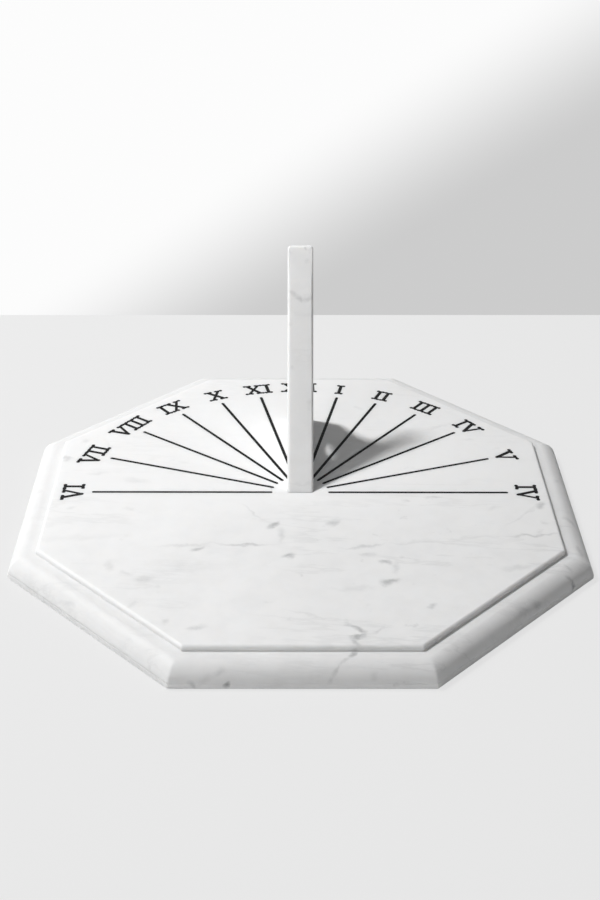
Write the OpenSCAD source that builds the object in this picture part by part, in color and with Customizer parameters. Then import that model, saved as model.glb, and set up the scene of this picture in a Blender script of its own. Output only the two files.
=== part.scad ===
// Octagonal marble sundial. A moulded slab carries an upright marble gnomon, and
// its hour lines and Roman numerals are grooves filled with black resin.
// X points east, Y north and Z up. The origin is the middle of the underside.

/* [Slab] */
// Thickness of the slab, up to the dial's surface
slab_h = 19; // [17:0.5:25]
// Raised dial plate, across its flats
dial_af = 380; // [368:1:430]
// Flat ledge round the dial plate
ledge_w = 6; // [3:0.5:12]
// Radius of the round moulding that falls from the ledge to the lip
ovolo_r = 14; // [11:0.1:18]
// Distance that the square lip stands out at the foot of the moulding
lip_w = 0.5; // [0.4:0.1:3]
// Height of that lip
lip_h = 4; // [2:0.5:7]
// Rise of the dial plate above the ledge
step_h = 4; // [3.8:0.1:6]
// Bevel round the dial plate's upper edge
plate_arris = 2; // [0.4:0.1:3]

/* [Hour lines] */
// Latitude of the place, in degrees, which sets the hour lines and the style
latitude = 51.5; // [46:0.5:57]
// Width of an hour line
line_w = 2.5; // [1:0.1:3]
// Distance of the inner ends from the dial's centre
line_start = 22.5; // [20:0.5:40]
// Gap between the outer ends and the numerals
line_gap = 6.4; // [3:0.1:20]
// Gap between the gnomon's heel and the noon line
noon_gap = 3; // [1:0.5:8]
// Depth of the engraved grooves
groove_depth = 1.5; // [0.8:0.1:3]
// Level of the filling below the dial's surface
fill_drop = 0.1; // [0.05:0.05:0.4]
// Clearance between a filling and the walls of its groove
fill_gap = 0.02; // [0.01:0.01:0.08]

/* [Numerals] */
// Distance of the numerals from the dial plate's edge
rim_gap = 8.4; // [5:0.1:12]
// Height of the numerals
numeral_h = 16.2; // [13:0.1:18]
// Upright stem of the letter I
stem_w = 3; // [1.6:0.1:3.4]
// Heavy arm of V and X
thick_w = 3.2; // [1.6:0.1:3.6]
// Light arm of V and X
thin_w = 2.4; // [1.2:0.1:3]
// Length of a serif
serif_w = 7.4; // [6:0.1:9]
// Thickness of a serif
serif_t = 2.1; // [1.2:0.1:2.5]
// Diameter of the round ends of a serif
serif_dot = 3; // [2.6:0.1:3.4]
// Thinner bar that joins the serifs of neighbouring letters
link_t = 1.6; // [0.8:0.1:2]
// Distance between the tops of the arms of V
v_span = 10.2; // [9.8:0.1:13]
// Distance between the tops of the arms of X
x_span = 9.6; // [9.2:0.1:12]
// Overlap of V with the letter beside it
v_kern = 1.6; // [0.4:0.1:2.2]
// Overlap of the other neighbours
kern = 0.2; // [0.1:0.1:0.8]

/* [Gnomon] */
// Thickness of the gnomon
gnomon_t = 20; // [14:0.5:26]
// Height of the tip above the dial
gnomon_h = 152; // [130:1:180]
// Distance of the style's foot in front of the dial's centre
toe = 1; // [0:0.5:6]
// Distance of the upright heel behind the dial's centre
heel = 115; // [108:1:130]
// Height at which the heel starts to turn in
shoulder_h = 43.5; // [36:0.5:56]
// Rounding of that shoulder
shoulder_r = 12; // [4:0.5:16]
// Height of the narrowest place of the hollow back
throat_h = 85; // [74:1:100]
// Thickness left there between the style and the back, measured level
neck_w = 31; // [22:0.5:36]
// Level land at the tip, front to back
tip_land = 3; // [2:0.5:8]
// Diameter of the round window
window_d = 40; // [24:1:44]
// Distance of the window's centre behind the dial's centre
window_y = 71; // [68:0.5:76]
// Height of the window's centre above the dial
window_z = 39.5; // [34:0.5:43]
// Rounding of the two edges of the style
style_arris = 1.5; // [0.5:0.1:3]

/* [Dowels] */
// Diameter of the steel dowels
dowel_d = 6; // [4:0.5:8]
// Length of a dowel in the slab
dowel_sunk = 12; // [8:0.5:13]
// Length of a dowel in the gnomon
dowel_rise = 18; // [12:0.5:24]
// Distance of the front dowel behind the dial's centre
dowel_front = 34; // [30:0.5:40]
// Distance of the rear dowel behind the dial's centre
dowel_rear = 98; // [94:0.5:101]
// Radial clearance round a dowel, for the adhesive
dowel_gap = 0.1; // [0.05:0.01:0.2]
// Room left above a dowel
dowel_room = 0.5; // [0.2:0.1:2]

/* [Hidden] */
LINE_NODES = [
    "hour_line_6am", "hour_line_7am", "hour_line_8am", "hour_line_9am", "hour_line_10am",
    "hour_line_11am", "hour_line_noon", "hour_line_1pm", "hour_line_2pm", "hour_line_3pm",
    "hour_line_4pm", "hour_line_5pm", "hour_line_6pm"];
NUMERAL_NODES = [
    "numeral_6am", "numeral_7am", "numeral_8am", "numeral_9am", "numeral_10am",
    "numeral_11am", "numeral_noon", "numeral_1pm", "numeral_2pm", "numeral_3pm",
    "numeral_4pm", "numeral_5pm", "numeral_6pm"];

// The last numeral is cut as it is on the dial shown, a mirror of the first
WORDS = ["VI", "VII", "VIII", "IX", "X", "XI", "XII", "I", "II", "III", "IV", "V", "IV"];
// The noon line's place in the lists
noon = 6;

marble = [0.93, 0.93, 0.92];
black = [0.06, 0.06, 0.06];
steel = [0.62, 0.63, 0.65];
$fn = 96;
// Overrun of a cutting tool past the face that it opens
over = 1;
// Depth to which the moulding's rods reach down into the lip
rod_sink = 0.2;

dial_z = slab_h;
ledge_z = dial_z - step_h;
// Middle of the moulding's round, outwards and up, and its reach where it meets the lip
ovolo_mid = [dial_af / 2 + ledge_w, ledge_z - ovolo_r];
ovolo_reach = sqrt(pow(ovolo_r, 2) - pow(lip_h - ovolo_mid.y, 2));
base_af = 2 * (ovolo_mid.x + ovolo_reach + lip_w);
fill_h = groove_depth - fill_drop;
// Distances of the numerals' middle and of the hour lines' ends from the dial's centre
numeral_r = dial_af / 2 - rim_gap - numeral_h / 2;
line_end = numeral_r - numeral_h / 2 - line_gap - line_w / 2;

// Direction of an hour line from north, with the hour counted from noon
function hour_angle(h) = atan2(sin(latitude) * sin(15 * h), cos(15 * h));

// Half the width of a letter over its serifs
function half_width(c) = serif_w / 2 + (c == "V" ? v_span / 2 : c == "X" ? x_span / 2 : 0);
// Distance between the middles of two neighbouring letters
function advance(a, b) = half_width(a) + half_width(b) - (a == "V" || b == "V" ? v_kern : kern);
// Place of the middle of letter i of a word, counted from the first letter's middle
function letter_x(word, i) = i == 0 ? 0 : letter_x(word, i - 1) + advance(word[i - 1], word[i]);
// Half the difference of the word's two ends, which centres it
function word_shift(word) = let (last = len(word) - 1)
    (letter_x(word, last) + half_width(word[last]) - half_width(word[0])) / 2;

// Half height of the serifs' middle lines
serif_y = (numeral_h - serif_t) / 2;

// Places on the gnomon's outline, level and upright
function style_y(z) = -toe + z / tan(latitude);
throat_y = style_y(throat_h) + neck_w;
tip_y = style_y(gnomon_h) + tip_land;
// Radius of an arc that leaves the throat upright and ends dy back and dz away
function throat_radius(dy, dz) = (dy * dy + dz * dz) / (2 * dy);
upper_r = throat_radius(tip_y - throat_y, gnomon_h - throat_h);
lower_r = throat_radius(heel - throat_y, throat_h - shoulder_h);
// Middle of the shoulder's rounding, which touches the heel and the lower arc
shoulder_reach = throat_y + lower_r - heel + shoulder_r;
shoulder_drop = sqrt(pow(lower_r + shoulder_r, 2) - pow(shoulder_reach, 2));
shoulder_mid = [heel - shoulder_r, throat_h - shoulder_drop];
shoulder_way = [shoulder_reach, shoulder_drop] / (lower_r + shoulder_r);

// Straight bar between two points
module bar(a, b, w) {
    translate(a) rotate(atan2(b.y - a.y, b.x - a.x))
        translate([0, -w / 2]) square([norm(b - a), w]);
}

// Straight bar with round ends
module stroke(a, b, w) {
    bar(a, b, w);
    for (p = [a, b]) translate(p) circle(d = w);
}

// Serif with a round knob at each end
module serif(x, y, grow) {
    reach = (serif_w - serif_dot) / 2;
    bar([x - reach, y], [x + reach, y], serif_t + 2 * grow);
    for (side = [-reach, reach]) translate([x + side, y]) circle(d = serif_dot + 2 * grow);
}

module letter_i(grow) {
    bar([0, -serif_y], [0, serif_y], stem_w + 2 * grow);
    for (y = [-serif_y, serif_y]) serif(0, y, grow);
}

module letter_v(grow) {
    stroke([0, -serif_y], [-v_span / 2, serif_y], thick_w + 2 * grow);
    stroke([0, -serif_y], [v_span / 2, serif_y], thin_w + 2 * grow);
    for (x = [-v_span / 2, v_span / 2]) serif(x, serif_y, grow);
}

module letter_x(grow) {
    bar([x_span / 2, -serif_y], [-x_span / 2, serif_y], thick_w + 2 * grow);
    bar([-x_span / 2, -serif_y], [x_span / 2, serif_y], thin_w + 2 * grow);
    for (x = [-x_span / 2, x_span / 2], y = [-serif_y, serif_y]) serif(x, y, grow);
}

// Thin bars between the serifs of letter i and the next, where both have them
module links(word, i, grow) {
    start = letter_x(word, i) + half_width(word[i]) - serif_dot / 2;
    stop = letter_x(word, i + 1) - half_width(word[i + 1]) + serif_dot / 2;
    if (word[i] != "V" && word[i + 1] != "V")
        for (y = [-serif_y, serif_y]) bar([start, y], [stop, y], link_t + 2 * grow);
}

// One Roman numeral, flat, centred on its own middle
module numeral_shape(word, grow) {
    translate([-word_shift(word), 0]) {
        for (i = [0 : len(word) - 1]) translate([letter_x(word, i), 0]) {
            if (word[i] == "I") letter_i(grow);
            if (word[i] == "V") letter_v(grow);
            if (word[i] == "X") letter_x(grow);
        }
        for (i = [0 : 1 : len(word) - 2]) links(word, i, grow);
    }
}

// Numeral i in its place on the dial, its head pointing outwards
module numeral_place(i, grow) {
    rotate(-hour_angle(i - noon)) translate([0, numeral_r]) numeral_shape(WORDS[i], grow);
}

// Hour line i in its place on the dial
module line_place(i, grow) {
    start = i == noon ? heel + noon_gap + line_w / 2 : line_start;
    rotate(-hour_angle(i - noon)) stroke([0, start], [0, line_end], line_w + 2 * grow);
}

// Octagonal prism whose flats lie at the given distance from its axis
module octagon(flat, h) {
    linear_extrude(h) polygon([for (k = [0 : 7]) flat / cos(22.5) * [cos(45 * k + 22.5), sin(45 * k + 22.5)]]);
}

// Round rods along the eight sides, mitred at the corners and cut off at the given level
module edge_rods(middle, r, low) {
    reach = base_af;
    for (k = [0 : 7]) rotate(45 * k) intersection() {
        translate([middle.x, 0, middle.y]) rotate([90, 0, 0]) cylinder(r = r, h = reach, center = true);
        translate([0, 0, low])
            linear_extrude(dial_z) polygon([[0, 0], reach * [1, -tan(22.5)], reach * [1, tan(22.5)]]);
    }
}

// Marble slab before it is engraved: lip, moulding, ledge and dial plate
module slab_blank() {
    octagon(base_af / 2, lip_h);
    octagon(ovolo_mid.x, ledge_z);
    edge_rods(ovolo_mid, ovolo_r, lip_h - rod_sink);
    octagon(dial_af / 2, dial_z);
}

// Square bars that bevel the dial plate's upper edge
module plate_bevel() {
    for (k = [0 : 7]) rotate(45 * k) translate([dial_af / 2, 0, dial_z]) rotate([0, 45, 0])
        cube([plate_arris * sqrt(2), base_af, plate_arris * sqrt(2)], center = true);
}

// Blind hole for a dowel, from the dial's surface down into the slab
module slab_dowel_hole(y) {
    translate([0, y, dial_z - dowel_sunk]) cylinder(d = dowel_d + 2 * dowel_gap, h = dowel_sunk + over);
}

module base_slab() {
    color(marble) difference() {
        slab_blank();
        plate_bevel();
        translate([0, 0, dial_z - groove_depth]) linear_extrude(groove_depth + over)
            for (i = [0 : len(WORDS) - 1]) {
                line_place(i, 0);
                numeral_place(i, 0);
            }
        for (y = [dowel_front, dowel_rear]) slab_dowel_hole(y);
    }
}

// The gnomon's outline in the noon plane, with the dial's surface at zero
module gnomon_outline() {
    difference() {
        polygon([[-toe, 0], [style_y(throat_h), throat_h], [heel, throat_h], [heel, 0]]);
        translate([throat_y + lower_r, throat_h]) circle(r = lower_r, $fn = 240);
        difference() {
            polygon([shoulder_mid, [heel + over, shoulder_mid.y], [heel + over, throat_h],
                shoulder_mid + (shoulder_r + over) * shoulder_way]);
            translate(shoulder_mid) circle(r = shoulder_r);
        }
    }
    difference() {
        polygon([[style_y(throat_h), throat_h], [style_y(gnomon_h), gnomon_h],
            [tip_y + over, gnomon_h], [tip_y + over, throat_h]]);
        translate([throat_y + upper_r, throat_h]) circle(r = upper_r, $fn = 360);
    }
}

// Bar along the style whose two front edges are rounded
module style_bar() {
    half = gnomon_t / 2;
    depth = gnomon_h + heel;
    translate([0, -toe]) rotate([latitude - 90, 0, 0]) translate([0, 0, -depth])
        linear_extrude(3 * depth) {
            translate([-half, style_arris]) square([2 * half, depth]);
            translate([-half + style_arris, 0]) square([2 * (half - style_arris), depth]);
            for (side = [-1, 1])
                translate([side * (half - style_arris), style_arris]) circle(r = style_arris);
        }
}

module gnomon() {
    color(marble) translate([0, 0, dial_z]) difference() {
        intersection() {
            rotate([90, 0, 90]) linear_extrude(gnomon_t, center = true) gnomon_outline();
            style_bar();
        }
        translate([0, window_y, window_z]) rotate([0, 90, 0])
            cylinder(d = window_d, h = gnomon_t + 2 * over, center = true);
        for (y = [dowel_front, dowel_rear]) translate([0, y, -over])
            cylinder(d = dowel_d + 2 * dowel_gap, h = dowel_rise + dowel_room + over);
    }
}

module dowel(y) {
    color(steel) translate([0, y, dial_z - dowel_sunk]) cylinder(d = dowel_d, h = dowel_sunk + dowel_rise);
}

module front_dowel() dowel(dowel_front);

module rear_dowel() dowel(dowel_rear);

module hour_line(i) {
    color(black) translate([0, 0, dial_z - groove_depth]) linear_extrude(fill_h) line_place(i, -fill_gap);
}

module numeral(i) {
    color(black) translate([0, 0, dial_z - groove_depth]) linear_extrude(fill_h) numeral_place(i, -fill_gap);
}

base_slab();
gnomon();
front_dowel();
rear_dowel();
for (i = [0 : len(WORDS) - 1]) {
    hour_line(i);
    numeral(i);
}
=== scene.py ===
"""Octagonal garden sundial in white marble.

A moulded slab carries an upright gnomon of the same stone, and its hour lines and Roman numerals are
grooves filled with black resin. Metres, X east, Y north, Z up, with the origin under the dial's centre.
"""
import math

import bpy
import numpy as np
from mathutils import Matrix, Vector


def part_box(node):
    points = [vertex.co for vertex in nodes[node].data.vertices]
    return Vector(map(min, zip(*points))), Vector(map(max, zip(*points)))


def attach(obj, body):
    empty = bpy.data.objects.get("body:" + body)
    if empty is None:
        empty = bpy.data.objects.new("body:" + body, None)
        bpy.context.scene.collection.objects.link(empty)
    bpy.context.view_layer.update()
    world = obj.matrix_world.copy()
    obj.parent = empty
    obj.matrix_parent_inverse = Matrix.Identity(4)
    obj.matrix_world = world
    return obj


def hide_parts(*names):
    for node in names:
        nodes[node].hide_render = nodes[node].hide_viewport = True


# Frame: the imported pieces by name, their box, and a millimetre in the frame's metres
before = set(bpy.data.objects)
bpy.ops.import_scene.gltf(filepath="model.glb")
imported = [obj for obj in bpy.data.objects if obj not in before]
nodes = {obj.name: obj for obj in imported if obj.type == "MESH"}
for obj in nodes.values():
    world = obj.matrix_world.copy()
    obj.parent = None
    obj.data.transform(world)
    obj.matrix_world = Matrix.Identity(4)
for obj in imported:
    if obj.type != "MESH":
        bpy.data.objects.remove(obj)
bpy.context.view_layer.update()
MM = 0.001


# Camera: it stands in front of the dial and looks down on it at thirty degrees, a little off the noon line.
# The picture is upright, three high to two wide.
PICTURE = (600, 900)
LENS = 56.52
SENSOR = 36
CAMERA_AT = Vector((-10.9, -919.5, 585.0)) * MM
YAW, PITCH, ROLL = (math.radians(angle) for angle in (0.647, 29.904, 0.432))

look = Vector((math.sin(YAW) * math.cos(PITCH), math.cos(YAW) * math.cos(PITCH), -math.sin(PITCH)))
level = Vector((math.cos(YAW), -math.sin(YAW), 0))
upright = level.cross(look)
side = math.cos(ROLL) * level + math.sin(ROLL) * upright
top = math.cos(ROLL) * upright - math.sin(ROLL) * level

camera_data = bpy.data.cameras.new("camera")
camera_data.lens = LENS
camera_data.sensor_width = SENSOR
camera = bpy.data.objects.new("camera", camera_data)
camera.matrix_world = Matrix.Translation(CAMERA_AT) @ Matrix((side, top, -look)).transposed().to_4x4()
bpy.context.collection.objects.link(camera)
bpy.context.scene.camera = camera
bpy.context.scene.view_settings.view_transform = "Standard"


# Floor: a plain white table top without a visible edge. The camera sees it as an even pale grey, a little
# darker where the dial shades it, and it throws its light up on the slab's mouldings.
FLOOR_GREY = 0.823
FLOOR_SHADE = 0.15
FLOOR_HALF = 4.0
FLOOR_DROP = 0.2 * MM


def node_adder(owner):
    """Clears the node tree of a material or a world, and returns the function that adds nodes to it."""
    owner.use_nodes = True
    tree = owner.node_tree
    tree.nodes.clear()

    def node(kind, settings=None, **inputs):
        """Adds a node. Inputs are values, or sockets to link, keyed by name or by in0, in1 for a place."""
        made = tree.nodes.new("ShaderNode" + kind)
        for key, value in (settings or {}).items():
            setattr(made, key, value)
        for key, value in inputs.items():
            if key.startswith("in") and key[2:].isdigit():
                socket = made.inputs[int(key[2:])]
            else:
                socket = made.inputs[key.replace("_", " ")]
            if isinstance(value, bpy.types.NodeSocket):
                tree.links.new(value, socket)
            else:
                socket.default_value = value
        return made

    return node


def new_material(name):
    """Material without nodes as yet, and the function that adds them."""
    material = bpy.data.materials.new(name)
    return material, node_adder(material)


def in_view(node):
    """One for a ray from the camera or from a glossy reflection, and zero for all other light."""
    path = node("LightPath").outputs
    either = node("Math", {"operation": "MAXIMUM"}, in0=path["Is Camera Ray"], in1=path["Is Glossy Ray"])
    return either.outputs["Value"]


def ramp(node, value, low, high, at_low, at_high, smooth=False):
    """Carries a value from the range low to high over to at_low to at_high, in a line or an easing curve."""
    settings = {"interpolation_type": "SMOOTHSTEP" if smooth else "LINEAR"}
    return node("MapRange", settings, Value=value, From_Min=low, From_Max=high,
                To_Min=at_low, To_Max=at_high).outputs["Result"]


def flat_mesh(name, corners, material):
    """Adds one flat face through the given corners, staged so that it isn't part of the dial."""
    mesh = bpy.data.meshes.new(name)
    mesh.from_pydata([tuple(corner) for corner in corners], [], [tuple(range(len(corners)))])
    mesh.materials.append(material)
    made = bpy.data.objects.new(name, mesh)
    bpy.context.collection.objects.link(made)


floor_white, node = new_material("floor_white")
lit = node("BsdfDiffuse", Color=(FLOOR_GREY, FLOOR_GREY, FLOOR_GREY, 1)).outputs["BSDF"]
even = node("Emission", Color=(FLOOR_GREY, FLOOR_GREY, FLOOR_GREY, 1)).outputs["Emission"]
pale = node("MixShader", in0=FLOOR_SHADE, in1=even, in2=lit).outputs["Shader"]
node("OutputMaterial", Surface=node("MixShader", in0=in_view(node), in1=lit, in2=pale).outputs["Shader"])
flat_mesh("floor", [(x, y, -FLOOR_DROP) for x, y in
                    ((-FLOOR_HALF, -FLOOR_HALF), (FLOOR_HALF, -FLOOR_HALF),
                     (FLOOR_HALF, FLOOR_HALF), (-FLOOR_HALF, FLOOR_HALF))], floor_white)


# Backdrop: an upright white wall behind the dial, which meets the floor at a level line of the picture. A
# soft slanting edge of painted light and shade crosses it. It is seen from the front only and throws no light
# or shade.
WALL_LINE = 315
WALL_HALF = 4.0
WALL_HEIGHT = 3.0
WALL_LIGHT, WALL_DARK = 0.975, 0.605
EDGE_LOW, EDGE_HIGH = (148, 310), (465, 120)
EDGE_SOFT = 75 * MM


def ray(x, y):
    """Direction from the camera through a place of the picture, counted in its dots from its upper left."""
    scale = LENS / SENSOR * max(PICTURE)
    return look + side * (x - PICTURE[0] / 2) / scale - top * (y - PICTURE[1] / 2) / scale


def on_floor(x, y):
    """Place on the floor that the picture shows at x and y."""
    way = ray(x, y)
    return CAMERA_AT - way * (CAMERA_AT.z / way.z)


wall_middle = on_floor(PICTURE[0] / 2, WALL_LINE)
wall_way = (on_floor(PICTURE[0], WALL_LINE) - on_floor(0, WALL_LINE)).normalized()
wall_facing = wall_way.cross(Vector((0, 0, 1)))


def on_wall(x, y):
    """Place on the wall that the picture shows at x and y, as distances along it and up it."""
    way = ray(x, y)
    place = CAMERA_AT + way * ((wall_middle - CAMERA_AT).dot(wall_facing) / way.dot(wall_facing))
    return Vector(((place - wall_middle).dot(wall_way), place.z))


edge_foot = on_wall(*EDGE_LOW)
edge_way = (on_wall(*EDGE_HIGH) - edge_foot).normalized()
edge_across = wall_way * edge_way.y - Vector((0, 0, edge_way.x))
edge_start = (wall_middle + wall_way * edge_foot.x + Vector((0, 0, edge_foot.y))).dot(edge_across)

wall_white, node = new_material("wall_white")
place = node("TexCoord").outputs["Object"]
across = node("VectorMath", {"operation": "DOT_PRODUCT"}, in0=place, in1=edge_across).outputs["Value"]
grey = ramp(node, across, edge_start - EDGE_SOFT, edge_start + EDGE_SOFT, WALL_LIGHT, WALL_DARK, smooth=True)
glow = node("Emission", Color=grey).outputs["Emission"]
front = node("Math", {"operation": "SUBTRACT"}, in0=1.0, in1=node("NewGeometry").outputs["Backfacing"])
facing = node("Math", {"operation": "MULTIPLY"}, in0=in_view(node), in1=front.outputs["Value"])
clear = node("BsdfTransparent").outputs["BSDF"]
shader = node("MixShader", in0=facing.outputs["Value"], in1=clear, in2=glow).outputs["Shader"]
node("OutputMaterial", Surface=shader)
rise = Vector((0, 0, WALL_HEIGHT))
reach = wall_way * WALL_HALF
flat_mesh("wall", [wall_middle - reach, wall_middle + reach, wall_middle + reach + rise,
                   wall_middle - reach + rise], wall_white)


# Light: one round studio lamp, high on the left and a little behind the dial, which throws the gnomon's
# shadow over the afternoon hours. A large soft panel, low at the front left, and an even world fill the
# shadows. Where the camera or a glossy reflection meets the world, it is a paler grey.
LAMP_TOWARDS = Vector((-0.497, 0.190, 0.847))
LAMP_AIM = Vector((40, 60, 19)) * MM
LAMP_DISTANCE = 1.8
LAMP_RADIUS = 0.068 * LAMP_DISTANCE
LAMP_POWER = 27.6
PANEL_TOWARDS = Vector((-0.66, -0.70, 0.28))
PANEL_DISTANCE = 2.4
PANEL_SIZE = 1.8
PANEL_POWER = 15.5
FILL = 0.15
SKY_SEEN = 0.8

for name, towards, distance, width, power in (
        ("lamp", LAMP_TOWARDS, LAMP_DISTANCE, 2 * LAMP_RADIUS, LAMP_POWER),
        ("panel", PANEL_TOWARDS, PANEL_DISTANCE, PANEL_SIZE, PANEL_POWER)):
    lamp_data = bpy.data.lights.new(name, "AREA")
    lamp_data.shape = "DISK"
    lamp_data.size = width
    lamp_data.energy = power
    lamp = bpy.data.objects.new(name, lamp_data)
    lamp.location = LAMP_AIM + towards.normalized() * distance
    lamp.rotation_euler = towards.to_track_quat("Z", "Y").to_euler()
    bpy.context.collection.objects.link(lamp)

world = bpy.data.worlds.new("studio")
bpy.context.scene.world = world
node = node_adder(world)
dim = node("Background", Color=(FILL, FILL, FILL, 1)).outputs["Background"]
bright = node("Background", Color=(SKY_SEEN, SKY_SEEN, SKY_SEEN, 1)).outputs["Background"]
node("OutputWorld", Surface=node("MixShader", in0=in_view(node), in1=dim, in2=bright).outputs["Shader"])


# Slab: one piece of honed white marble, sawn to an octagon. A quarter-round moulding runs round it over a
# square lip, and a raised plate with softened edges carries the dial. The grooves are engraved in that plate.
SLAB_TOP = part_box("base_slab")[1].z
SLAB_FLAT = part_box("base_slab")[1].x
PLATE_FLAT = 190 * MM
LEDGE, LEDGE_Z = 6 * MM, 15 * MM
OVOLO_R = 14.2 * MM
LIP_H = 4 * MM
LIP_FACE_H, BROW_Z = 2 * MM, 3 * MM
LIP_ARRIS = 0.4 * MM
LINE_DEPTH = 0.5 * MM
LINE_HALF = 0.3 * MM
RISER_FILLET = 0.3 * MM
PLATE_ARRIS = 2.4 * MM
RIM = 0.5 * MM
PLATE_CORNER = 1.2 * MM
OVOLO_CORNER = 3.5 * MM
LIP_CORNER = 1.0 * MM
CORNER_STEPS = 8
CUT_RISE = 1 * MM
FILL_GAP = 0.02 * MM
WELD = 0.001 * MM
SHARP_ANGLE = math.radians(32)


def arc(centre, radius, start, stop, steps):
    """Points of an arc: centre plus radius times the cosine and sine of evenly spaced angles."""
    angles = np.radians(np.linspace(start, stop, steps + 1))
    return np.stack([centre[0] + radius * np.cos(angles), centre[1] + radius * np.sin(angles)], 1)


def octagon_rings(profile, corners):
    """Carries a profile of (distance, height) round an octagon. Each ring lies at its distance on the eight
    flats, and its corners are arcs of the given radius, turned by an eighth of a circle."""
    turn = np.radians(45 * np.arange(8)[:, None] + np.linspace(0, 45, CORNER_STEPS + 1)[None, :])
    middle = np.radians(45 * np.arange(8) + 22.5)[None, :, None]
    flat = (profile[:, 0] - corners)[:, None, None] / math.cos(math.radians(22.5))
    x = flat * np.cos(middle) + corners[:, None, None] * np.cos(turn)[None]
    y = flat * np.sin(middle) + corners[:, None, None] * np.sin(turn)[None]
    z = np.broadcast_to(profile[:, 1, None, None], x.shape)
    return np.stack([x, y, z], -1).reshape(len(profile), -1, 3)


def shell(name, rings):
    """Closed mesh from a stack of rings of equal count, with a flat face over the first and the last."""
    levels, count = rings.shape[:2]
    place = np.arange(levels * count).reshape(levels, count)
    after = np.roll(place, -1, axis=1)
    quads = np.stack([place[:-1], after[:-1], after[1:], place[1:]], -1).reshape(-1, 4)
    faces = quads.tolist() + [place[0, ::-1].tolist(), place[-1].tolist()]
    mesh = bpy.data.meshes.new(name)
    mesh.from_pydata(rings.reshape(-1, 3).tolist(), [], faces)
    made = bpy.data.objects.new(name, mesh)
    bpy.context.collection.objects.link(made)
    return made


def apply_modifiers(piece):
    """Gives the piece the mesh that its modifiers make, and clears them."""
    rough = piece.data
    evaluated = piece.evaluated_get(bpy.context.evaluated_depsgraph_get())
    finished = bpy.data.meshes.new_from_object(evaluated)
    piece.modifiers.clear()
    piece.data = finished
    bpy.data.meshes.remove(rough)


def cut_out(piece, cutters):
    """Takes the cutters out of the piece, and deletes them."""
    for cutter in cutters:
        step = piece.modifiers.new("cut", "BOOLEAN")
        step.operation = "DIFFERENCE"
        step.solver = "EXACT"
        step.object = cutter
    apply_modifiers(piece)
    for cutter in cutters:
        bpy.data.meshes.remove(cutter.data)


def soften(piece):
    """Smooth shading broken at the sharp edges, with the flat faces kept flat."""
    mesh = piece.data
    mesh.shade_smooth()
    mesh.set_sharp_from_angle(angle=SHARP_ANGLE)
    weights = piece.modifiers.new("flat faces", "WEIGHTED_NORMAL")
    weights.keep_sharp = True


def ovolo_angle(z):
    """Angle in degrees at which the moulding's round passes a height."""
    return math.degrees(math.asin((z - ovolo_centre[1]) / OVOLO_R))


# The lip's face is upright to half its height, and its brow already follows the moulding's round. The rim
# is a narrow band of the flat top, which ends the plate's rounded edge.
ovolo_centre = (PLATE_FLAT + LEDGE, LEDGE_Z - OVOLO_R)
face = np.array([[SLAB_FLAT - LIP_ARRIS, 0], [SLAB_FLAT, LIP_ARRIS], [SLAB_FLAT, LIP_FACE_H]])
brow = arc(ovolo_centre, OVOLO_R, ovolo_angle(BROW_Z), ovolo_angle(LIP_H - LINE_HALF), 3)
fine_line = np.array([[brow[-1, 0] - LINE_DEPTH, LIP_H]])
lip = np.concatenate([face, brow, fine_line])
ovolo = arc(ovolo_centre, OVOLO_R, ovolo_angle(LIP_H + LINE_HALF), 90, 24)
riser = np.array([[PLATE_FLAT + RISER_FILLET, LEDGE_Z], [PLATE_FLAT, LEDGE_Z + RISER_FILLET]])
edge = arc((PLATE_FLAT - PLATE_ARRIS, SLAB_TOP - PLATE_ARRIS), PLATE_ARRIS, 0, 90, 12)
rim = np.array([[PLATE_FLAT - PLATE_ARRIS - RIM, SLAB_TOP]])
plate = np.concatenate([riser, edge, rim])
profile = np.concatenate([lip, ovolo, plate])
corner_radii = np.concatenate([np.full(len(lip), LIP_CORNER), np.full(len(ovolo), OVOLO_CORNER),
                               np.full(len(plate), PLATE_CORNER)])
slab = shell("marble_slab", octagon_rings(profile, corner_radii))

hours = ["6am", "7am", "8am", "9am", "10am", "11am", "noon", "1pm", "2pm", "3pm", "4pm", "5pm", "6pm"]
fillings = [kind + hour for kind in ("hour_line_", "numeral_") for hour in hours]


def groove_cutter(name):
    """Copy of a filling, merged, a touch wider, and carried up past the top of the slab."""
    cutter = bpy.data.objects.new("cutter_" + name, nodes[name].data.copy())
    bpy.context.collection.objects.link(cutter)
    weld = cutter.modifiers.new("weld", "WELD")
    weld.merge_threshold = WELD
    apply_modifiers(cutter)
    mesh = cutter.data
    points = np.empty(3 * len(mesh.vertices))
    outward = np.empty_like(points)
    mesh.vertices.foreach_get("co", points)
    mesh.vertices.foreach_get("normal", outward)
    points, outward = points.reshape(-1, 3), outward.reshape(-1, 3)
    middle = (points[:, 2].max() + points[:, 2].min()) / 2
    outward[:, 2] = 0
    points += FILL_GAP * outward / np.maximum(np.linalg.norm(outward, axis=1, keepdims=True), 0.1)
    points[points[:, 2] > middle, 2] = SLAB_TOP + CUT_RISE
    mesh.vertices.foreach_set("co", points.ravel())
    mesh.update()
    return cutter


cut_out(slab, [groove_cutter(name) for name in fillings])
soften(slab)
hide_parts("base_slab")
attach(slab, "root")


# Marble: near-white calcite with faint grey clouds, thin streaks that run mostly east and west, and a few
# darker specks and threads where the photograph shows them. It is honed, so it has a soft sheen.
STONE = (0.880, 0.880, 0.878, 1)
VEIN = (0.34, 0.345, 0.35, 1)
CLOUD, STREAK, SPECK, FINE = 0.08, 0.12, 0.25, 0.06
# Painted shade that greys the mouldings below the dial plate
MOULDING_PAINTED_SHADE = 0.13
FADE_FROM, FADE_TO = -80 * MM, 40 * MM
WANDER = (12 * MM, 12 * MM, 4 * MM)
STROKE_REACH = 0.6


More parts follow.
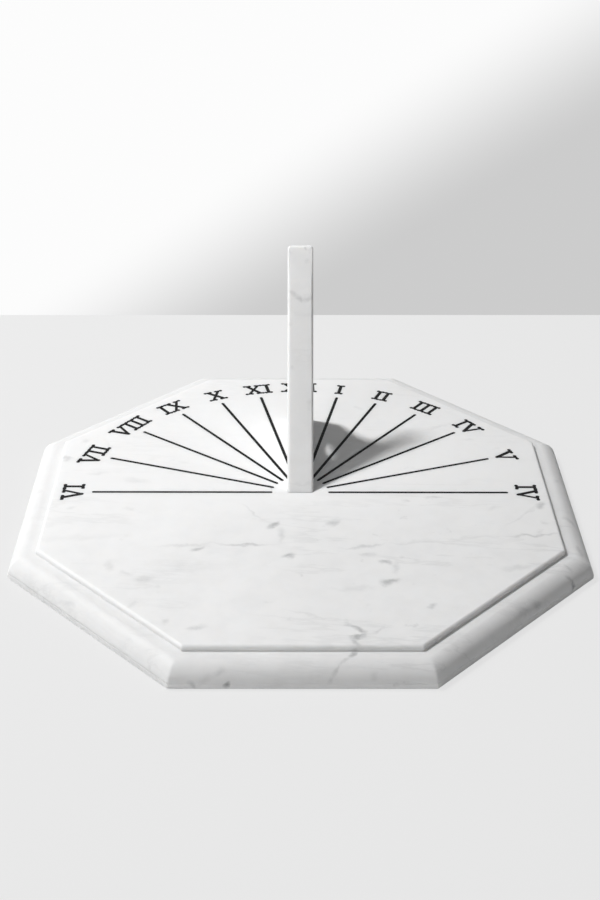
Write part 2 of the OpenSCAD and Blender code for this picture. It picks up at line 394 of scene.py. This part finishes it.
def marble(name, marks, grain_turn, north_share):
    """Marble material. Marks are straight strokes (start, end, half width, strength) in millimetres. The
    veining fades from full strength at the front to the given share behind the dial's centre."""
    material, node = new_material(name)

    def math_node(operation, a, b=0.0, clamp=False):
        return node("Math", {"operation": operation, "use_clamp": clamp}, in0=a, in1=b).outputs["Value"]

    def noise(vector, scale, detail, roughness=0.5, output="Fac"):
        made = node("TexNoise", Vector=vector, Scale=scale, Detail=detail, Roughness=roughness)
        return made.outputs[output]

    place = node("TexCoord").outputs["Object"]
    turned = node("Mapping", Vector=place, Rotation=grain_turn).outputs["Vector"]
    wobble = noise(place, 90, 3, output="Color")
    centred = node("VectorMath", {"operation": "SUBTRACT"}, in0=wobble, in1=(0.5, 0.5, 0.5)).outputs["Vector"]
    shifted = node("VectorMath", {"operation": "MULTIPLY_ADD"}, in0=centred, in1=WANDER, in2=place)
    shifted = shifted.outputs["Vector"]

    # Each stroke is a soft long blob round its line, and the strongest one counts where they meet
    total = 0.0
    for start, end, half_width, strength in marks:
        start, end = Vector(start) * MM, Vector(end) * MM
        blur = 2 * half_width * MM
        local = node("Mapping", {"vector_type": "TEXTURE"}, Vector=shifted, Location=(start + end) / 2,
                     Rotation=(end - start).to_track_quat("X", "Z").to_euler(),
                     Scale=((end - start).length * STROKE_REACH + blur, blur, blur)).outputs["Vector"]
        distance = node("VectorMath", {"operation": "LENGTH"}, in0=local).outputs["Value"]
        total = math_node("MAXIMUM", total, ramp(node, distance, 0.0, 1.0, strength, 0.0, smooth=True))
    mottle = ramp(node, noise(place, 260, 4), 0.3, 0.65, 0.75, 1.1)
    drawn = math_node("MULTIPLY", total, mottle)

    # The grain is clouds, streaks along the zero line of a noise, and specks, in patches
    cloud = ramp(node, noise(turned, 7, 4), 0.35, 0.70, 0.0, CLOUD)
    fine = ramp(node, noise(turned, 60, 5, roughness=0.6), 0.40, 0.70, 0.0, FINE)
    patch = ramp(node, noise(turned, 14, 2), 0.38, 0.62, 0.0, 1.0)
    stretched = node("Mapping", Vector=turned, Scale=(5, 26, 26)).outputs["Vector"]
    ridge = math_node("SUBTRACT", noise(stretched, 1.0, 6, roughness=0.62), 0.5)
    ridge = math_node("ABSOLUTE", ridge)
    streak = math_node("MULTIPLY", ramp(node, ridge, 0.0, 0.03, STREAK, 0.0, smooth=True), patch)
    speck = ramp(node, noise(turned, 85, 3), 0.66, 0.78, 0.0, SPECK, smooth=True)
    speck = math_node("MULTIPLY", speck, patch)
    grain = math_node("ADD", math_node("ADD", cloud, fine), math_node("MAXIMUM", streak, speck))

    # It fades to the north, and painted shade makes the mouldings below the top a touch greyer than the top
    axes = node("SeparateXYZ", Vector=place).outputs
    share = ramp(node, axes["Y"], FADE_FROM, FADE_TO, 1.0, north_share, smooth=True)
    painted_moulding_shade = ramp(node, axes["Z"], SLAB_TOP - 4 * MM, SLAB_TOP - MM, MOULDING_PAINTED_SHADE, 0.0, smooth=True)
    grey = math_node("ADD", math_node("MULTIPLY", grain, share), painted_moulding_shade)
    grey = math_node("ADD", grey, drawn, clamp=True)
    colour = node("Mix", {"data_type": "RGBA"}, in0=grey, in6=STONE, in7=VEIN).outputs[2]

    crystals = noise(place, 1500, 2)
    bump = node("Bump", Strength=0.04, Distance=0.1 * MM, Height=crystals).outputs["Normal"]
    gloss = ramp(node, noise(place, 300, 3), 0.0, 1.0, 0.46, 0.56)
    stone = node("BsdfPrincipled", Base_Color=colour, Roughness=gloss, Normal=bump)
    stone.inputs["Subsurface Weight"].default_value = 0.5
    stone.inputs["Subsurface Radius"].default_value = (1.0, 0.95, 0.9)
    stone.inputs["Subsurface Scale"].default_value = 4 * MM
    stone.inputs["IOR"].default_value = 1.5
    stone.inputs["Specular IOR Level"].default_value = 0.25
    node("OutputMaterial", Surface=stone.outputs["BSDF"])
    return material


TOP = SLAB_TOP / MM
slab_marks = [
    # On the dial plate
    ((-105, -74, TOP), (-62, -72, TOP), 1.4, 0.21),
    ((-62, -72, TOP), (-20, -72, TOP), 1.4, 0.39),
    ((28, -77, TOP), (62, -72, TOP), 1.3, 0.34),
    ((62, -72, TOP), (100, -65, TOP), 1.4, 0.15),
    ((100, -65, TOP), (150, -60, TOP), 1.4, 0.13),
    ((148, -60.5, TOP), (190, -58, TOP), 1.4, 0.41),
    ((148, -50, TOP), (186, -12, TOP), 1.0, 0.15),
    ((-46, -17, TOP), (-24, -42, TOP), 1.0, 0.18),
    ((-14, -50, TOP), (-15, -67, TOP), 2.4, 0.23),
    ((-18, -44, TOP), (-22, -48, TOP), 2.3, 0.63),
    ((-71, -76, TOP), (-77, -80, TOP), 2.0, 0.52),
    ((-6, -85, TOP), (-11, -87, TOP), 2.0, 0.58),
    ((26, -39, TOP), (22, -48, TOP), 2.2, 0.36),
    ((57, -93, TOP), (61, -95, TOP), 2.0, 0.52),
    ((58, -118, TOP), (63, -117, TOP), 3.1, 0.68),
    ((46, -85, TOP), (52, -83, TOP), 2.2, 0.17),
    ((66, -92, TOP), (66, -108, TOP), 1.9, 0.22),
    ((98, -7, TOP), (106, -6, TOP), 1.6, 0.26),
    ((78, -12, TOP), (80, -13, TOP), 1.6, 0.23),
    ((141, -23, TOP), (149, -21, TOP), 2.3, 0.14),
    ((180, -19, TOP), (182, -18, TOP), 2.2, 0.47),
    ((179, -42, TOP), (181, -43, TOP), 2.0, 0.19),
    ((87, -147, TOP), (88, -146, TOP), 1.7, 0.37),
    ((-12, -150, TOP), (26, -164, TOP), 1.2, 0.15),
    ((31, -165, TOP), (42, -178, TOP), 1.9, 0.65),
    ((42, -178, TOP), (33, -183, TOP), 1.8, 0.61),
    ((33, -183, TOP), (38, -189, TOP), 1.7, 0.47),
    ((42, -178, TOP), (58, -169, TOP), 1.2, 0.20),
    ((-116, -115, TOP), (-106, -114, TOP), 2.6, 0.29),
    ((-134, -96, TOP), (-135, -104, TOP), 2.0, 0.19),
    ((-124, -106, TOP), (-121, -108, TOP), 2.0, 0.17),
    ((-76, -172, TOP), (-66, -170, TOP), 1.9, 0.32),
    ((-92, -167, TOP), (-88, -163, TOP), 1.7, 0.21),
    ((-116, -146, TOP), (-113, -143, TOP), 1.7, 0.14),
    ((-130, -24, TOP), (-124, -24, TOP), 2.0, 0.17),
    ((-174, -25, TOP), (-171, -23, TOP), 1.7, 0.14),
    ((22, -127, TOP), (50, -125, TOP), 2.4, 0.13),
    ((140, -102, TOP), (165, -99, TOP), 2.4, 0.18),
    ((-100, -104, TOP), (-52, -98, TOP), 4.2, 0.08),
    ((-192, -66, TOP), (-130, -61, TOP), 3.0, 0.09),
    ((-174, 77, TOP), (-172, 79, TOP), 2.6, 0.21),
    ((-187, 50, TOP), (-184, 49, TOP), 2.8, 0.30),
    ((-163, 28, TOP), (-150, 27, TOP), 2.2, 0.14),
    ((-135, 19, TOP), (-120, 14, TOP), 3.0, 0.13),
    ((50, 138, TOP), (52, 136, TOP), 2.2, 0.14),
    ((108, 100, TOP), (122, 108, TOP), 2.2, 0.14),
    ((136, 82, TOP), (142, 84, TOP), 2.0, 0.12),
    ((-96, 45, TOP), (-88, 42, TOP), 2.0, 0.09),
    ((-45, 18, TOP), (-42, 20, TOP), 1.7, 0.12),
    # Over the plate's edge, the ledge and the moulding
    ((35, -190, 16), (30, -195, 15), 1.5, 0.60),
    ((30, -195, 15), (25.4, -202, 13.7), 1.3, 0.34),
    ((25.4, -202, 13.7), (19, -208, 8.7), 1.3, 0.34),
    ((19, -208, 8.7), (14, -210, 3), 1.2, 0.22),
    ((-49.4, -210, 2), (-48.2, -210, 5), 1.5, 0.75),
    ((-71, -210, 2.5), (-71, -210, 4), 1.6, 0.40),
    ((-52, -205, 12), (-57, -207, 9.5), 1.7, 0.24),
    ((-57, -207, 9.5), (-66, -210, 4), 2.2, 0.16),
    ((47, -206.5, 10), (45, -208.5, 7), 1.8, 0.16),
    ((59, -210, 2.6), (61, -210, 2.6), 1.0, 0.30),
    ((192, -102.5, 8), (190.5, -106.5, 4), 1.3, 0.90),
    ((186.5, -102.5, 12), (191, -102.8, 9), 1.5, 0.40),
    ((188, -92, 15), (190, -94, 14.5), 1.8, 0.28),
    ((198, -27, 14.8), (204, -38.5, 12.5), 1.5, 0.26),
    ((200, -68, 14.4), (203, -78, 13), 1.6, 0.28),
    ((145, -146, 11), (158, -135, 9.7), 2.2, 0.22),
    ((158, -135, 9.7), (164, -130, 8.8), 2.4, 0.32),
    ((200, 26, 14.3), (201, 24, 14), 1.6, 0.16),
    ((-166, -127, 9.6), (-155, -136, 11.3), 1.6, 0.16),
]
slab_marble = marble("slab_marble", slab_marks, (0, 0, math.radians(4)), 0.35)
slab.data.materials.clear()
slab.data.materials.append(slab_marble)


# Gnomon: an upright of the same marble, as thick as the slab. Its raking edge is the style, set at the angle
# of the latitude, and its back is hollowed by two arcs above a straight heel. A round window pierces it.
LATITUDE = math.radians(51.5)
GNOMON_LOW, GNOMON_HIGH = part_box("gnomon")
GNOMON_H = GNOMON_HIGH.z - SLAB_TOP
HALF = GNOMON_HIGH.x
HEEL = 115 * MM
SHOULDER_H, SHOULDER_R = 43.5 * MM, 12 * MM
THROAT_H, NECK = 85 * MM, 31 * MM
STYLE_ARRIS, BACK_ARRIS = 2.0 * MM, 1.0 * MM
TIP_ROUND = 2.4 * MM
TIP_ARRIS = 0.5 * MM
WINDOW = Vector((0, 71 * MM, SLAB_TOP + 39.5 * MM))
WINDOW_R, WINDOW_ARRIS = 20 * MM, 0.6 * MM
ARRIS_STEPS = 6
FRONT_SHARE, BACK_SHARE = 0.45, 0.3


def style_y(z):
    """Place of the raking edge at a height above the dial."""
    return GNOMON_LOW.y + z / math.tan(LATITUDE)


throat_y = style_y(THROAT_H) + NECK
upper_dy = GNOMON_HIGH.y - throat_y
upper_r = (upper_dy ** 2 + (GNOMON_H - THROAT_H) ** 2) / (2 * upper_dy)
lower_dy = HEEL - throat_y
lower_r = (lower_dy ** 2 + (THROAT_H - SHOULDER_H) ** 2) / (2 * lower_dy)
shoulder_reach = throat_y + lower_r - HEEL + SHOULDER_R
shoulder_drop = math.sqrt((lower_r + SHOULDER_R) ** 2 - shoulder_reach ** 2)
shoulder_z = THROAT_H - shoulder_drop
join_z = shoulder_z + shoulder_drop * SHOULDER_R / (lower_r + SHOULDER_R)


def back_y(z):
    """Place of the back at a height above the dial: heel, shoulder, lower arc and upper arc in turn."""
    shoulder = HEEL - SHOULDER_R + np.sqrt(np.maximum(SHOULDER_R ** 2 - (z - shoulder_z) ** 2, 0))
    lower = throat_y + lower_r - np.sqrt(np.maximum(lower_r ** 2 - (z - THROAT_H) ** 2, 0))
    upper = throat_y + upper_r - np.sqrt(np.maximum(upper_r ** 2 - (z - THROAT_H) ** 2, 0))
    return np.select([z < shoulder_z, z < join_z, z < THROAT_H], [HEEL, shoulder, lower], upper)


# Level sections lie closer together where the back curves, and they narrow over the rounded tip
heights = np.concatenate([
    np.linspace(0, shoulder_z, 6)[:-1],
    np.linspace(shoulder_z, join_z, 12)[:-1],
    np.linspace(join_z, THROAT_H, 16)[:-1],
    np.linspace(THROAT_H, GNOMON_H - TIP_ROUND, 26)[:-1],
    GNOMON_H - TIP_ROUND * (1 - np.sin(np.radians(np.linspace(0, 90, 9))))])
over_tip = np.maximum(heights - (GNOMON_H - TIP_ROUND), 0)
narrowing = TIP_ROUND - np.sqrt(np.maximum(TIP_ROUND ** 2 - over_tip ** 2, 0))
tip_share = narrowing / TIP_ROUND
front_y = style_y(heights) + TIP_ARRIS * tip_share
rear_y = back_y(heights) - TIP_ARRIS * tip_share
depth = rear_y - front_y
half = HALF - narrowing

# Each level section is a rectangle whose corners are arcs, the front ones drawn out by the style's slope.
# Near the tip the arcs shrink to a share of the section's depth.
slope = math.sin(LATITUDE)
turn = np.radians(np.linspace(0, 90, ARRIS_STEPS + 1))[None, :]
front_r = np.minimum(STYLE_ARRIS, FRONT_SHARE * depth * slope)[:, None]
back_r = np.minimum(BACK_ARRIS, BACK_SHARE * depth)[:, None]
front_x = half[:, None] - front_r * (1 - np.sin(turn))
back_x = half[:, None] - back_r * (1 - np.sin(turn))
front = front_y[:, None] + front_r * (1 - np.cos(turn)) / slope
back = rear_y[:, None] - back_r * (1 - np.cos(turn))
xs = np.concatenate([front_x, back_x[:, ::-1], -back_x, -front_x[:, ::-1]], 1)
ys = np.concatenate([front, back[:, ::-1], back, front[:, ::-1]], 1)
zs = np.broadcast_to(heights[:, None] + SLAB_TOP, xs.shape)
gnomon = shell("marble_gnomon", np.stack([xs, ys, zs], -1))

# The window's cutter is a drum that flares at both ends, which rounds the window's edges
flare = arc((HALF - WINDOW_ARRIS, WINDOW_R + WINDOW_ARRIS), WINDOW_ARRIS, -90, -15, 6)
flare = np.concatenate([flare, [[HALF + WINDOW_ARRIS, flare[-1, 1] + 2 * WINDOW_ARRIS]]])
spool = np.concatenate([flare[::-1] * (-1, 1), flare])
around = np.radians(np.arange(0, 360, 2.5))
window = shell("window_cutter", np.stack([
    np.broadcast_to(spool[:, :1], (len(spool), len(around))),
    WINDOW.y + spool[:, 1:] * np.cos(around), WINDOW.z + spool[:, 1:] * np.sin(around)], -1))
cut_out(gnomon, [window])
soften(gnomon)
gnomon_marks = [
    ((-7, 97, 142.6), (-3.5, 94.6, 139.2), 1.5, 0.28),
    ((-3.5, 94.6, 139.2), (1.5, 92.8, 137), 1.5, 0.40),
    ((1.5, 92.8, 137), (8, 94.5, 139), 1.6, 0.24),
    ((4.6, 119, 170), (4.8, 118, 169), 1.1, 0.45),
    ((-7.6, 117.8, 168.4), (-7, 117.5, 168), 1.4, 0.18),
    ((5, 112.8, 162.1), (7, 113, 162), 1.2, 0.16),
    ((-7.5, 83, 124.5), (-7.0, 82, 123), 1.6, 0.15),
    ((-7, 60, 95.5), (-6, 59, 95), 1.6, 0.12),
    ((7.5, 43, 74), (7.5, 40, 70), 1.8, 0.20),
]
gnomon_marble = marble("gnomon_marble", gnomon_marks, (math.radians(50), 0, math.radians(20)), 0.9)
gnomon.data.materials.clear()
gnomon.data.materials.append(gnomon_marble)
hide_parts("gnomon")
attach(gnomon, "root")


# Fillings: black epoxy resin poured into the grooves and rubbed down just below the stone. It is matt,
# with a little unevenness left by the abrasive.
resin, node = new_material("black_resin")
place = node("TexCoord").outputs["Object"]
grit = node("TexNoise", Vector=place, Scale=900.0, Detail=3.0).outputs["Fac"]
shade = node("Mix", {"data_type": "RGBA"}, in0=grit, in6=(0.004, 0.004, 0.004, 1),
             in7=(0.012, 0.012, 0.012, 1)).outputs[2]
rough = ramp(node, grit, 0.0, 1.0, 0.6, 0.8)
relief = node("Bump", Strength=0.2, Distance=0.05 * MM, Height=grit).outputs["Normal"]
matt = node("BsdfPrincipled", Base_Color=shade, Roughness=rough, Normal=relief)
matt.inputs["Specular IOR Level"].default_value = 0.15
node("OutputMaterial", Surface=matt.outputs["BSDF"])


def dress(names, material):
    """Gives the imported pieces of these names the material."""
    for name in names:
        for slot in nodes[name].material_slots:
            slot.material = material


dress(fillings, resin)


# Dowels: two drawn stainless steel pins, bonded into blind holes where the gnomon stands on the slab. The
# stone hides them.
pin_steel, node = new_material("pin_steel")
place = node("TexCoord").outputs["Object"]
drawn = node("Mapping", Vector=place, Scale=(2500, 2500, 60)).outputs["Vector"]
lines = node("TexNoise", Vector=drawn, Scale=1.0, Detail=2.0).outputs["Fac"]
polish = ramp(node, lines, 0.0, 1.0, 0.25, 0.4)
tint = node("Mix", {"data_type": "RGBA"}, in0=lines, in6=(0.55, 0.56, 0.58, 1),
            in7=(0.66, 0.67, 0.69, 1)).outputs[2]
steel = node("BsdfPrincipled", Base_Color=tint, Roughness=polish, Metallic=1.0)
node("OutputMaterial", Surface=steel.outputs["BSDF"])
dress(("front_dowel", "rear_dowel"), pin_steel)
